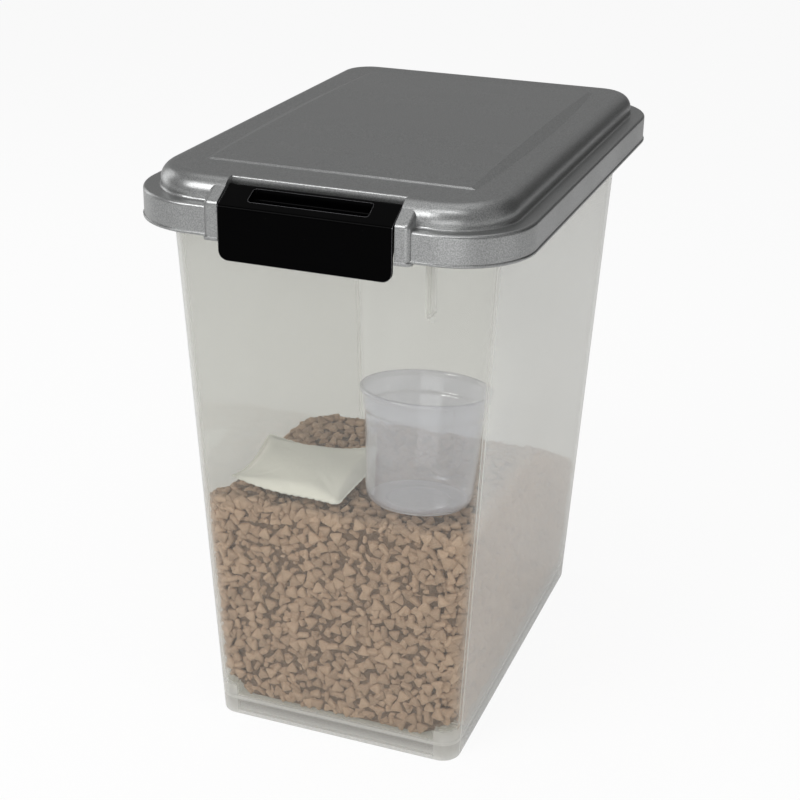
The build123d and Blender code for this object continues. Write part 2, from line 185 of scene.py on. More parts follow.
# %% [markdown]
# ## The floor and the light
# The container stands on a plain pale sweep. Its lid is a satin silver, which shows what is
# around it, so the light is what shapes it: a large soft lamp in front and above, and a low card
# in front that brightens the upright faces. The lid's right slopes are dark in the photo, so the
# lamp on the right is kept out of reflections, and a black card is seen in them only.
# The floor looks white to the camera, and to the lid's reflections, by adding a little of its own
# light for those rays only. Seen through the bin's milky wall, floor and backdrop get less of that
# light, so they are greyer: painted shade for the inside of the bin.

# %% Floor and world
FLOOR_REACH = 12.0
FLOOR_SEEN, FLOOR_THROUGH_WALL, FLOOR_MIRRORED = 0.92, 0.36, 0.26
SKY_SEEN, SKY_SHADED_THROUGH_WALL, ROOM_LIGHT = 1.0, 0.60, 0.36


def flat_card(name, corners):
    """One four-cornered face."""
    mesh = bpy.data.meshes.new(name)
    mesh.from_pydata(corners, [], [(0, 1, 2, 3)])
    return in_scene(name, mesh)


def ground_material():
    material, tree = new_material("pale_floor")
    plain = add(tree, "ShaderNodeBsdfDiffuse", Color=(0.86, 0.86, 0.86, 1)).outputs[0]
    white = add(tree, "ShaderNodeEmission", Color=(1, 1, 1, 1), Strength=1.0).outputs[0]
    path = add(tree, "ShaderNodeLightPath").outputs
    mirrored = calc(tree, "MULTIPLY", path["Is Glossy Ray"], FLOOR_MIRRORED)
    whiteness = spread(tree, path["Transparent Depth"], 0, 1, FLOOR_SEEN, FLOOR_THROUGH_WALL)
    seen = calc(tree, "MULTIPLY", path["Is Camera Ray"], whiteness)
    finish_with(tree, mix(tree, calc(tree, "MAXIMUM", seen, mirrored), plain, white))
    return material


floor = flat_card("floor", [
    (-FLOOR_REACH, -FLOOR_REACH, 0), (FLOOR_REACH, -FLOOR_REACH, 0),
    (FLOOR_REACH, FLOOR_REACH, 0), (-FLOOR_REACH, FLOOR_REACH, 0),
])
dress(floor, ground_material())

world = bpy.data.worlds.new("studio")
bpy.context.scene.world = world
world.use_nodes = True
sky = world.node_tree
sky.nodes.clear()
room = add(sky, "ShaderNodeBackground", Color=(0.80, 0.80, 0.80, 1), Strength=ROOM_LIGHT).outputs[0]
path = add(sky, "ShaderNodeLightPath").outputs
# Painted shade: the backdrop seen through the bin's wall is dimmer, so the inside of the bin looks shaded.
whiteness = spread(sky, path["Transparent Depth"], 0, 1, SKY_SEEN, SKY_SHADED_THROUGH_WALL)
backdrop = add(sky, "ShaderNodeBackground", Color=(1, 1, 1, 1), Strength=whiteness).outputs[0]
sky_out = sky.nodes.new("ShaderNodeOutputWorld")
sky.links.new(mix(sky, path["Is Camera Ray"], room, backdrop), sky_out.inputs["Surface"])
bpy.context.scene.view_settings.view_transform = "Standard"
print("floor reaches", FLOOR_REACH, "m each way")

# %% Lamps
def soft_lamp(name, place, target, width, height, watts):
    """Rectangular lamp at a place, aimed at a target, which no camera sees."""
    data = bpy.data.lights.new(name, "AREA")
    data.shape = "RECTANGLE"
    data.size, data.size_y, data.energy = width, height, watts
    lamp = in_scene(name, data)
    lamp.location = place
    lamp.rotation_euler = (Vector(target) - Vector(place)).to_track_quat("-Z", "Y").to_euler()
    lamp.visible_camera = False
    return lamp


middle = (0, 0, 0.25)
soft_lamp("key", (-1.1, -1.9, 1.7), middle, 1.4, 1.1, 32)
soft_lamp("front_card", (0.35, -2.1, 0.35), middle, 1.6, 0.6, 6)
soft_lamp("high_front", (0.15, -1.15, 2.3), middle, 1.3, 0.45, 9)
soft_lamp("top", (-0.2, 0.3, 2.1), middle, 1.6, 1.6, 6)
soft_lamp("rim_left", (-1.9, 0.4, 0.8), middle, 0.8, 1.4, 6)
fill_right = soft_lamp("fill_right", (2.2, -0.5, 0.9), middle, 1.4, 1.4, 20)
fill_right.visible_glossy = False

dark_card = flat_card("dark_card", [(1.0, 3.4, 0.25), (3.4, 1.0, 0.25), (3.4, 1.0, 3.2), (1.0, 3.4, 3.2)])
black, card_tree = new_material("black_card")
finish_with(card_tree, add(card_tree, "ShaderNodeBsdfDiffuse", Color=(0.01, 0.01, 0.01, 1)).outputs[0])
dress(dark_card, black)
for rays in ("camera", "diffuse", "shadow", "transmission"):
    setattr(dark_card, "visible_" + rays, False)

# %% [markdown]
# ## The lid
# The lid is moulded in plastic with a fine metallic fleck, satin all over. A metal alone would
# look too mirror-like and a plain plastic too flat, so the shader is mostly metal with a rough
# surface, and a very fine noise stands for the fleck. Large, faint variation in roughness is
# what handling and moulding leave, and the Bevel node softens each sharp edge by half a
# millimetre, so that it catches the light as a moulded edge does.

# %% Lid finish
EDGE_ROUND = 0.5 * MM


def soft_edges(tree):
    """Normals that round each sharp edge a little."""
    return add(tree, "ShaderNodeBevel", samples=6, Radius=EDGE_ROUND).outputs["Normal"]


def lid_material():
    material, tree = new_material("silver_fleck_plastic")
    where = object_place(tree)
    fleck = noise(tree, 1300, 1.0, where=where)
    cloud = noise(tree, 14, 3.0, where=where)
    peel = noise(tree, 420, 2.0, where=where)
    body = add(
        tree, "ShaderNodeBsdfPrincipled",
        Base_Color=tone(tree, fleck, (0.32, (0.230, 0.234, 0.234)), (0.68, (0.372, 0.376, 0.374))),
        Metallic=0.85,
        Roughness=spread(tree, cloud, 0.3, 0.7, 0.30, 0.37),
        Normal=bump(tree, peel, 0.03, 0.35, soft_edges(tree)),
    )
    finish_with(tree, body.outputs[0])
    return material


dress(nodes["lid"], lid_material())
print("lid finished:", len(nodes["lid"].data.polygons), "faces")

# %% [markdown]
# ## The latch
# The latch is a smooth black flap. Glossy black shows nearly nothing but reflections, so its
# colour stays almost black and the roughness is low, with faint smudges where fingers press.
# Where the Bevel node turns the normal away from the flat face there is an edge, and a painted
# highlight is mixed in there: a paler glossy layer on the edges only, while the flat faces reflect almost
# nothing.

# %% Latch finish
def latch_material():
    material, tree = new_material("gloss_black_plastic")
    where = object_place(tree)
    smudge = noise(tree, 60, 3.0, where=where)
    wave = noise(tree, 45, 1.0, where=where)
    edge = soft_edges(tree)
    body = add(
        tree, "ShaderNodeBsdfPrincipled",
        Base_Color=(0.0004, 0.0004, 0.0005, 1),
        Roughness=spread(tree, smudge, 0.35, 0.75, 0.16, 0.26),
        Specular_IOR_Level=0.02,
        Normal=bump(tree, wave, 0.05, 0.25, edge),
    )
    # Painted highlight: a paler glossy layer is mixed in where the bevelled normal turns from the flat
    # face, so only the edges shine.
    flat = add(tree, "ShaderNodeNewGeometry").outputs["Normal"]
    turned = add(tree, "ShaderNodeVectorMath", operation="DOT_PRODUCT", i0=flat, i1=edge).outputs["Value"]
    edge_highlight_gloss = add(tree, "ShaderNodeBsdfGlossy", Color=(0.30, 0.30, 0.31, 1), Roughness=0.25)
    painted_edge_highlight = spread(tree, turned, 0.995, 0.90, 0, 0.55)
    finish_with(tree, mix(tree, painted_edge_highlight, body.outputs[0], edge_highlight_gloss.outputs[0]))
    return material


dress(nodes["latch"], latch_material())
print("latch finished:", len(nodes["latch"].data.polygons), "faces")

# %% [markdown]
# ## The bin
# The bin is thin natural polypropylene: clear enough to see the food, with a milky haze that
# grows where the wall is seen at a slant, and where the plastic is thick. Real refraction would
# need many light bounces and would darken the inside. A mix of a see-through shader and a pale
# body does the same for a thin wall, under a skin of clear reflections. The Layer Weight node
# gives the slant, and the bin's own sizes give the thick places. A pale line of haze at each
# corner is a painted highlight, and the see-through colour low in the foot is painted shade.

# %% The bin's sizes, from foot to mouth
BIN_HEIGHT = 0.440
FOOT_SIZE, MOUTH_SIZE = np.array((0.2044, 0.3342)), np.array((0.2470, 0.3856))
FOOT_CORNER, MOUTH_CORNER = 0.015, 0.028
STEP_INNER = FOOT_SIZE / 2 - 0.0172
CORNER_AT_FOOT = FOOT_SIZE[1] / 2 - FOOT_CORNER
CORNER_AT_MOUTH = MOUTH_SIZE[1] / 2 - MOUTH_CORNER

# %% Where the bin is thick, and its painted corner highlight
FOOT_BAND = 20 * MM
FOOT_HAZE = ((0.0, 0.55), (0.08, 0.50), (0.14, 0.10), (0.68, 0.06), (0.74, 0.72), (0.86, 0.72), (0.90, 0.0))
STEP_HAZE, STEP_WOBBLE = 0.50, 1.2 * MM
STEP_HAZE_FULL, STEP_HAZE_GONE = 28 * MM, 29.5 * MM
RIB_HAZE, RIB_X, RIB_HALF, RIB_LOW, RIB_Y = 0.45, 81.6 * MM, 2.0 * MM, 375 * MM, -180 * MM
CORNER_HIGHLIGHT_HAZE, LINE_HALF, LINE_FROM_CORNER, LINE_MIN_X = 0.85, 0.6 * MM, 1.3 * MM, 85 * MM


def soft_band(tree, value, middle, half, soft, height):
    """A height where a value is within half of its middle, falling to none over a soft edge."""
    off = calc(tree, "ABSOLUTE", calc(tree, "SUBTRACT", value, middle))
    return spread(tree, off, half, half + soft, height, 0)


def foot_level(tree, z):
    """How far up the foot's band a place is, from 0 to 1."""
    return spread(tree, z, 0, FOOT_BAND, 0, 1)


def corner_step_haze(tree, where, x, y, z):
    """The four steps inside the foot's corners, with a wavy upper edge."""
    wave = noise(tree, 300, 2.0, where=where)
    wobble = spread(tree, wave, 0.3, 0.7, -STEP_WOBBLE, STEP_WOBBLE)
    low = spread(tree, calc(tree, "ADD", z, wobble), STEP_HAZE_FULL, STEP_HAZE_GONE, STEP_HAZE, 0)
    inside = [
        spread(tree, calc(tree, "ABSOLUTE", side), edge - 1 * MM, edge, 0, 1)
        for side, edge in zip((x, y), STEP_INNER)
    ]
    return calc(tree, "MULTIPLY", calc(tree, "MULTIPLY", *inside), low)


def rim_rib_haze(tree, x, y, z):
    """The short rib under the rim, in front."""
    across = soft_band(tree, x, RIB_X, RIB_HALF, 0.1 * MM, RIB_HAZE)
    up = spread(tree, z, RIB_LOW, RIB_LOW + 1 * MM, 0, 1)
    front = spread(tree, y, RIB_Y, RIB_Y - 1 * MM, 0, 1)
    return calc(tree, "MULTIPLY", calc(tree, "MULTIPLY", across, up), front)


def painted_corner_highlight(tree, x, y, z):
    """A painted highlight: a pale upright line of haze where each rounded corner runs into the side wall,
    in place of the shine on the corner's edge.
    """
    flare = calc(tree, "MULTIPLY", z, (CORNER_AT_MOUTH - CORNER_AT_FOOT) / BIN_HEIGHT)
    beyond = calc(tree, "SUBTRACT", calc(tree, "ABSOLUTE", y), flare)
    line = soft_band(tree, beyond, CORNER_AT_FOOT + LINE_FROM_CORNER, LINE_HALF, 0.8 * MM, CORNER_HIGHLIGHT_HAZE)
    on_side = spread(tree, calc(tree, "ABSOLUTE", x), LINE_MIN_X, LINE_MIN_X + 1 * MM, 0, 1)
    return calc(tree, "MULTIPLY", line, on_side)


def thick_places(tree, where):
    """Haze where the plastic is thick, or seen along its thickness, and the painted highlight along each
    corner.
    """
    x, y, z = add(tree, "ShaderNodeSeparateXYZ", Vector=where).outputs
    most = tone(tree, foot_level(tree, z), *((level, (haze,) * 3) for level, haze in FOOT_HAZE))
    most = calc(tree, "MAXIMUM", most, corner_step_haze(tree, where, x, y, z))
    for extra in (rim_rib_haze, painted_corner_highlight):
        most = calc(tree, "MAXIMUM", most, extra(tree, x, y, z))
    return most

# %% Bin finish
LIGHT_KEPT_OUT = 0.35
# The third tint is painted shade, for the shadow under the bin's floor.
WALL_TINT, FOOT_TINT, UNDER_FLOOR_PAINTED_SHADE = (0.93, 0.93, 0.915), (0.92, 0.915, 0.90), (0.68, 0.67, 0.65)


def lets_light_in(tree, haze):
    """Haze that the camera sees in full, but that passes most of the light on its way inside."""
    path = add(tree, "ShaderNodeLightPath").outputs
    light = calc(tree, "MAXIMUM", path["Is Shadow Ray"], path["Is Diffuse Ray"])
    return calc(tree, "MULTIPLY", haze, spread(tree, light, 0, 1, 1.0, LIGHT_KEPT_OUT))


def glossy_skin(tree, shader, slant, roughness, head_on):
    """Clear reflections over a shader: few head-on and all at a graze, on both faces of a wall."""
    graze = calc(tree, "POWER", slant, 5.0)
    shine = add(tree, "ShaderNodeBsdfGlossy", Color=(1, 1, 1, 1), Roughness=roughness)
    return mix(tree, spread(tree, graze, 0, 1, head_on, 1.0), shader, shine.outputs[0])


def bin_material():
    material, tree = new_material("natural_polypropylene")
    where = object_place(tree)
    flow = noise(tree, 11, 2.0, where=where)
    slant = add(tree, "ShaderNodeLayerWeight", Blend=0.5).outputs["Facing"]
    milky = spread(tree, slant, 0.15, 0.95, 0.060, 0.36, smooth=True)
    milky = calc(tree, "MULTIPLY", milky, spread(tree, flow, 0.3, 0.7, 0.97, 1.03), use_clamp=True)
    hazy = calc(tree, "MAXIMUM", milky, thick_places(tree, where))
    body = add(
        tree, "ShaderNodeBsdfPrincipled",
        Base_Color=(0.82, 0.82, 0.785, 1),
        Roughness=0.55,
        Specular_IOR_Level=0.2,
        Normal=bump(tree, flow, 0.4, 0.3),
    )
    glow = add(tree, "ShaderNodeBsdfTranslucent", Color=(0.93, 0.93, 0.89, 1))
    wall = mix(tree, 0.55, body.outputs[0], glow.outputs[0])
    height = add(tree, "ShaderNodeSeparateXYZ", Vector=where).outputs[2]
    # Painted shade: the see-through colour darkens up the foot band towards the floor's underside, for the
    # shadow under the bin's floor seen through the foot wall.
    stops = (0.0, WALL_TINT), (0.14, FOOT_TINT), (0.66, UNDER_FLOOR_PAINTED_SHADE), (0.72, WALL_TINT)
    clear = add(tree, "ShaderNodeBsdfTransparent", Color=tone(tree, foot_level(tree, height), *stops))
    mixed = mix(tree, lets_light_in(tree, hazy), clear.outputs[0], wall)
    finish_with(tree, glossy_skin(tree, mixed, slant, 0.10, 0.015))
    return material


dress(nodes["bin"], bin_material())
bpy.context.scene.cycles.transparent_max_bounces = 24
print("bin finished")

# %% [markdown]
# ## The seal and the pins
# The seal is soft pale silicone, and the pins are plain drawn steel with faint lines round them.

# %% Seal and pin finishes
def seal_material():
    material, tree = new_material("pale_silicone")
    grain = noise(tree, 900, 2.0)
    body = add(
        tree, "ShaderNodeBsdfPrincipled",
        Base_Color=tone(tree, grain, (0.3, (0.66, 0.66, 0.64)), (0.7, (0.74, 0.74, 0.72))),
        Roughness=0.6,
        Normal=bump(tree, grain, 0.02, 0.4),
    )
    finish_with(tree, body.outputs[0])
    return material


def pin_material():
    material, tree = new_material("drawn_steel")
    stretched = add(tree, "ShaderNodeMapping", Vector=object_place(tree), Scale=(1.0, 0.05, 0.05))
    lines = noise(tree, 3000, 2.0, where=stretched.outputs[0])
    body = add(
        tree, "ShaderNodeBsdfPrincipled",
        Base_Color=tone(tree, lines, (0.3, (0.50, 0.50, 0.50)), (0.7, (0.62, 0.62, 0.61))),
        Metallic=1.0,
        Roughness=spread(tree, lines, 0.3, 0.7, 0.28, 0.42),
    )
    finish_with(tree, body.outputs[0])
    return material


dress(nodes["lid_seal"], seal_material())
steel = pin_material()
dress(nodes["hinge_pins"], steel)
dress(nodes["latch_pin"], steel)
print("seal and pins finished")

# %% [markdown]
# ## The dry food
# The fill is thousands of small baked pieces, each a flat rounded triangle. Only those against
# the walls, on the floor and on top can be seen, so separate pieces are laid there, two layers
# deep where they show most, over a core painted dark brown as shade for the food deep between
# them. Places are drawn at random but never too close together. Most pieces lie flat on what
# they touch and some stand on edge, and any that would poke through a wall is pushed back in.

# %% The bin's inside, as numbers
INSET = 0.0024 + 0.0004
FLOOR_TOP, STEP_TOP = 0.0173, 0.0293
FILL_TOP, FALL = 0.2040, math.tan(math.radians(27.5))
CORNER_TURN = math.radians(40.7)
RIDGES = ((0.0, 0.0, 1.0), (0.0455, -math.sin(CORNER_TURN), math.cos(CORNER_TURN)))
LEFT_SAG, LEFT_SAG_FROM, LEFT_SAG_LENGTH = 0.017, 0.088, 0.018
SAG_FRONT, SAG_FRONT_LENGTH = -0.165, 0.060
SHALLOW_SAG, SHALLOW_FROM, SHALLOW_LENGTH = 0.0075, 0.070, 0.035


def inside_half(z, inset=INSET):
    """Half width, half depth and corner radius of the bin's inside at heights z."""
    rise = np.asarray(z)[..., None] / BIN_HEIGHT
    half = (FOOT_SIZE + (MOUTH_SIZE - FOOT_SIZE) * rise) / 2 - inset
    corner = FOOT_CORNER + (MOUTH_CORNER - FOOT_CORNER) * rise[..., 0] - inset
    return half, corner


def outside_wall(points, inset=INSET):
    """How far points are outside the inner wall, and the outward direction there."""
    half, corner = inside_half(points[..., 2], inset)
    flat = points[..., :2]
    core = half - corner[..., None]
    over = np.maximum(np.abs(flat) - core, 0)
    length = np.linalg.norm(over, axis=-1)
    inner = np.minimum((np.abs(flat) - core).max(-1), 0)
    distance = length + inner - corner
    nearest = (np.abs(flat) - core).argmax(-1)
    straight = np.eye(2)[nearest] * np.sign(flat)
    rounded = over * np.sign(flat) / np.maximum(length, 1e-9)[..., None]
    return distance, np.where((length > 1e-6)[..., None], rounded, straight)


def fill_fall(points):
    """How far each of the fill's two slopes has dropped below its level part at points."""
    return np.stack([(points[..., 0] * x + points[..., 1] * y - ridge) * FALL for ridge, x, y in RIDGES])


def rising(value, start, length):
    """Grows evenly from 0 at a start to 1 after a length."""
    return np.clip((value - start) / length, 0, 1)


def fill_height(points):
    """Height of the fill's surface over points, which also sags along the left wall.

    One sag is behind the front, and a shallow one runs the whole length of the wall.
    """
    near_wall = rising(-points[..., 0], LEFT_SAG_FROM, LEFT_SAG_LENGTH)
    behind_front = rising(points[..., 1], SAG_FRONT, SAG_FRONT_LENGTH)
    shallow = rising(-points[..., 0], SHALLOW_FROM, SHALLOW_LENGTH) ** 2 * SHALLOW_SAG
    sag = shallow + LEFT_SAG * near_wall * near_wall * behind_front * (3 - 2 * behind_front) * behind_front
    return FILL_TOP - np.maximum(np.maximum(fill_fall(points).max(0), 0), sag)


print("bin inside at the fill's top:", inside_half(FILL_TOP)[0] * 2)

# %% One piece of food
PIECE_REACH, PIECE_THICK = 0.0068, 0.0041
TIP_REACH, TIP_SIDE_REACH, TIP_SIDE_TURN = 0.88, 0.76, 0.27
PIECE_LAYERS = ((0.80, 0.5), (1.0, 0.08), (0.84, -0.5))


def food_piece():
    """Flat triangle with straight sides and rounded corners: its points and its faces."""
    outline = []
    for k in range(9):
        side = k % 3 - 1
        angle = 2 * math.pi * (k // 3) / 3 + side * TIP_SIDE_TURN
        radius = TIP_REACH if side == 0 else TIP_SIDE_REACH
        outline.append((radius * math.cos(angle), radius * math.sin(angle)))
    points = []
    for share, lift in PIECE_LAYERS:
        points += [(share * x, share * y, lift) for x, y in outline]
    faces = [tuple(range(9)), tuple(range(26, 17, -1))]
    for ring in (0, 9):
        faces += [(ring + k, ring + 9 + k, ring + 9 + (k + 1) % 9, ring + (k + 1) % 9) for k in range(9)]
    return np.array(points) * (PIECE_REACH, PIECE_REACH, PIECE_THICK), faces


piece_points, piece_faces = food_piece()
print("one piece:", len(piece_points), "points", len(piece_faces), "faces")

# %% Places against the walls, on top and on the floor
ABOVE_FLOOR, BELOW_TOP, OFF_WALL = 0.002, 0.0005, 0.003
draw = np.random.default_rng(11)


def wall_places(count):
    """Random points on the bin's inner walls below the fill's surface, with outward normals."""
    z = draw.uniform(FLOOR_TOP + ABOVE_FLOOR, FILL_TOP, count)
    half, corner = inside_half(z)
    run = half - corner[:, None]
    arc = math.pi / 2 * corner
    quarter = run.sum(1) + arc
    along = draw.uniform(0, 1, count) * quarter
    on_x = along < run[:, 0]
    on_y = (along >= run[:, 0]) & (along < run.sum(1))
    angle = np.clip((along - run.sum(1)) / corner, 0, math.pi / 2)
    x = np.where(on_x, along, np.where(on_y, half[:, 0], run[:, 0] + corner * np.cos(angle)))
    y = np.where(on_x, half[:, 1], np.where(on_y, along - run[:, 0], run[:, 1] + corner * np.sin(angle)))
    nx = np.where(on_x, 0, np.where(on_y, 1, np.cos(angle)))
    ny = np.where(on_x, 1, np.where(on_y, 0, np.sin(angle)))
    sign = draw.choice((-1, 1), (count, 2))
    places = np.stack((x * sign[:, 0], y * sign[:, 1], z), 1)
    normals = np.stack((nx * sign[:, 0], ny * sign[:, 1], np.zeros(count)), 1)
    keep = places[:, 2] < fill_height(places) - BELOW_TOP
    return places[keep], normals[keep]


def flat_places(count, on_top):
    """Random points on the fill's upper surface, or on the floor."""
    x = draw.uniform(-0.5, 0.5, count) * MOUTH_SIZE[0]
    y = draw.uniform(-0.5, 0.5, count) * MOUTH_SIZE[1]
    places = np.stack((x, y, np.full(count, FLOOR_TOP)), 1)
    normals = np.tile((0.0, 0.0, -1.0), (count, 1))
    if on_top:
        places[:, 2] = fill_height(places)
        falls = fill_fall(places)
        normals = np.tile((0.0, 0.0, 1.0), (count, 1))
        for number, (_, x_share, y_share) in enumerate(RIDGES):
            steepest = (falls.argmax(0) == number) & (falls[number] > 0)
            normals[steepest] = Vector((x_share * FALL, y_share * FALL, 1)).normalized()
    keep = outside_wall(places)[0] < -OFF_WALL
    return places[keep], normals[keep]


def apart(places, normals, least):
    """Keeps points in order, dropping any that is closer than least to one already kept."""
    cells, kept = {}, []
    keys = np.floor(places / least).astype(int)
    for i, (key, place) in enumerate(zip(map(tuple, keys), places)):
        near = (
            j
            for dx in (-1, 0, 1) for dy in (-1, 0, 1) for dz in (-1, 0, 1)
            for j in cells.get((key[0] + dx, key[1] + dy, key[2] + dz), ())
        )
        if all(np.sum((places[j] - place) ** 2) >= least * least for j in near):
            cells.setdefault(key, []).append(i)
            kept.append(i)
    return places[kept], normals[kept]

# %% Turning and settling the pieces
EDGE_TILT, SKEW, PROUD = 1.15, 0.3, 0.0008
SIZE_SPREAD, WIDTH_SPREAD, THICK_SPREAD = 0.06, 0.05, 0.12


def turned_pieces(normals, flatness, edge_share):
    """Each piece's points, turned at random: flat along the surface, or stood on edge for a share."""
    count = len(normals)
    on_edge = draw.uniform(0, 1, count) < edge_share
    tilt = np.abs(draw.normal(0, flatness, count)) + np.where(on_edge, EDGE_TILT, 0)
    heading, spin = draw.uniform(0, 2 * math.pi, (2, count))
    helper = np.where(np.abs(normals[:, 2:3]) > 0.9, (1.0, 0, 0), (0, 0, 1.0))
    side = np.cross(normals, helper)
    side /= np.linalg.norm(side, axis=1)[:, None]
    other = np.cross(normals, side)
    lean = side * np.cos(heading)[:, None] + other * np.sin(heading)[:, None]
    axis_z = normals * np.cos(tilt)[:, None] + lean * np.sin(tilt)[:, None]
    axis_x = np.cross(axis_z, side + SKEW * other)
    axis_x /= np.linalg.norm(axis_x, axis=1)[:, None]
    axis_y = np.cross(axis_z, axis_x)
    first = axis_x * np.cos(spin)[:, None] + axis_y * np.sin(spin)[:, None]
    second = np.cross(axis_z, first)
    turn = np.stack((first, second, axis_z), 2)
    sizes = draw.normal(1.0, SIZE_SPREAD, (count, 1, 1)) * np.stack(
        (np.ones(count), draw.normal(1.0, WIDTH_SPREAD, count), draw.normal(1.0, THICK_SPREAD, count)), 1
    )[:, None, :]
    warped = piece_points[None] * sizes
    return np.einsum("nij,nkj->nki", turn, warped)


def settled(places, normals, shapes, depth):
    """Moves each piece under its surface by depth, then inside the walls, floor and fill."""
    reach = np.einsum("nki,ni->nk", shapes, normals).max(1)
    points = shapes + (places - normals * (reach + depth)[:, None])[:, None, :]
    for _ in range(3):
        distance, outward = outside_wall(points)
        worst = distance.argmax(1)
        row = np.arange(len(points))
        push = np.maximum(distance[row, worst], 0)
        points[..., :2] -= (outward[row, worst] * push[:, None])[:, None, :]
        points[..., 2] += np.maximum(FLOOR_TOP - points[..., 2].min(1), 0)[:, None]
        over = (points[..., 2] - fill_height(points)).max(1)
        points[..., 2] -= np.maximum(over - PROUD, 0)[:, None]
    over_step = (np.abs(points[..., :2]) > STEP_INNER).all(-1) & (points[..., 2] < STEP_TOP)
    return points[~over_step.any(1)]


def food_mesh(name, groups):
    """One mesh from many settled pieces."""
    points = np.concatenate(groups)
    count = len(points)
    corners = np.concatenate([np.array(f) for f in piece_faces])
    sizes = np.array([len(f) for f in piece_faces])
    starts = np.concatenate(((0,), np.cumsum(sizes)[:-1]))
    offsets = np.arange(count)[:, None]
    mesh = bpy.data.meshes.new(name)
    mesh.vertices.add(count * points.shape[1])
    mesh.vertices.foreach_set("co", points.reshape(-1))
    mesh.loops.add(count * len(corners))
    loop_points = corners + offsets * points.shape[1]
    mesh.loops.foreach_set("vertex_index", loop_points.reshape(-1).astype(np.int32))
    mesh.polygons.add(count * len(sizes))
    loop_starts = starts + offsets * len(corners)
    mesh.polygons.foreach_set("loop_start", loop_starts.reshape(-1).astype(np.int32))
    mesh.update(calc_edges=True)
    mesh.validate()
    mesh.shade_smooth()
    shade = mesh.attributes.new("bake", "FLOAT", "POINT")
    baked = np.repeat(draw.uniform(0, 1, count), points.shape[1])
    shade.data.foreach_set("value", baked.astype(np.float32))
    return in_scene(name, mesh)


def layer(source, least, flatness, deep, edge_share=0.3):
    """One settled layer of pieces over a set of random places."""
    places, normals = apart(*source, least)
    shapes = turned_pieces(normals, flatness, edge_share)
    return settled(places, normals, shapes, draw.uniform(*deep, len(places)))


wall_outer = layer(wall_places(80000), 0.0072, flatness=0.25, deep=(0.0001, 0.0012), edge_share=0.45)
wall_inner = layer(wall_places(60000), 0.0070, flatness=0.45, deep=(0.0016, 0.0036), edge_share=0.45)
top_outer = layer(flat_places(25000, True), 0.0074, flatness=0.50, deep=(0.0, 0.0026))
top_inner = layer(flat_places(16000, True), 0.0078, flatness=0.7, deep=(0.0022, 0.0050))
floor_layer = layer(flat_places(16000, False), 0.0090, flatness=0.5, deep=(0.0, 0.0010))
print("pieces:", [len(g) for g in (wall_outer, wall_inner, top_outer, top_inner, floor_layer)])

# %% Food finish
BAKED_DARK, BAKED, BAKED_LIGHT = (0.410, 0.285, 0.200), (0.505, 0.355, 0.252), (0.595, 0.428, 0.310)


def food_material():
    material, tree = new_material("baked_food")
    where = object_place(tree)
    grain = noise(tree, 900, 4.0, 0.65, where=where)
    patch = noise(tree, 160, 2.0, where=where)
    bake = add(tree, "ShaderNodeAttribute", attribute_name="bake").outputs["Fac"]
    crust = tone(tree, bake, (0.0, BAKED_DARK), (0.5, BAKED), (1.0, BAKED_LIGHT))
    speck = tone(tree, grain, (0.35, (0.70, 0.66, 0.60)), (0.62, (1.0, 1.0, 1.0)))
    mixed = add(tree, "ShaderNodeMix", data_type="RGBA", blend_type="MULTIPLY")
    mixed.inputs["Factor"].default_value = 0.8
    tree.links.new(crust, mixed.inputs["A"])
    tree.links.new(speck, mixed.inputs["B"])
    rough = spread(tree, patch, 0.3, 0.7, 0.70, 0.92)
    body = add(tree, "ShaderNodeBsdfPrincipled", Roughness=rough, Normal=bump(tree, grain, 0.25, 0.6))
    tree.links.new(mixed.outputs["Result"], body.inputs["Base Color"])
    finish_with(tree, body.outputs[0])
    return material


FRONT_UP_TO = -0.04
food = food_material()
in_front = wall_outer[:, :, 1].mean(1) < FRONT_UP_TO
food_pieces = [
    food_mesh("kibble_front", [wall_outer[in_front]]),
    food_mesh("kibble_back", [wall_outer[~in_front]]),
    food_mesh("kibble_behind", [wall_inner]),
    food_mesh("kibble_heap", [top_outer, top_inner, floor_layer]),
]
for piece in food_pieces:
    dress(piece, food)
print("food meshes:", [piece.name for piece in food_pieces])

# %% The core under the pieces, painted dark as shade
CORE_IN, CORE_BELOW, CORE_UP = 0.0040, 0.0050, 0.0010
CORE_OFF_STEP, FLAT_ENOUGH = 0.002, 0.02


def core_place(share_x, share_y, on_top):
    """One point of the core, drawn in until it is inside the rounded corners."""
    place = np.array((0, 0, FLOOR_TOP + CORE_UP))
    for _ in range(4):
        half = inside_half(place[2], INSET + CORE_IN)[0]
        place[:2] = half * (share_x, share_y)
        reach = float(outside_wall(place, INSET + CORE_IN)[0])
        if reach > 0:
            place[:2] *= 1 - reach / np.linalg.norm(place[:2])
        if on_top:
            place[2] = float(fill_height(place)) - CORE_BELOW
    in_step = np.all(np.abs(place[:2]) > STEP_INNER - CORE_OFF_STEP)
    if in_step and not on_top:
        place[2] = STEP_TOP + CORE_OFF_STEP
    return place


def food_core():
    """Closed block a little inside the pieces, following the walls and the surface."""
    mesh = bmesh.new()
    for share_x in np.linspace(-1, 1, 9):
        for share_y in np.linspace(-1, 1, 17):
            for on_top in (False, True):
                mesh.verts.new(core_place(share_x, share_y, on_top))
    hull = bmesh.ops.convex_hull(mesh, input=mesh.verts)
    inner = {part for key in ("geom_interior", "geom_unused") for part in hull[key]}
    unused = [part for part in inner if isinstance(part, bmesh.types.BMVert)]
    bmesh.ops.delete(mesh, geom=unused, context="VERTS")
    bmesh.ops.dissolve_limit(mesh, angle_limit=FLAT_ENOUGH, verts=mesh.verts, edges=mesh.edges)
    bmesh.ops.recalc_face_normals(mesh, faces=mesh.faces)
    data = bpy.data.meshes.new("kibble_core")
    mesh.to_mesh(data)
    mesh.free()
    return in_scene("kibble_core", data)


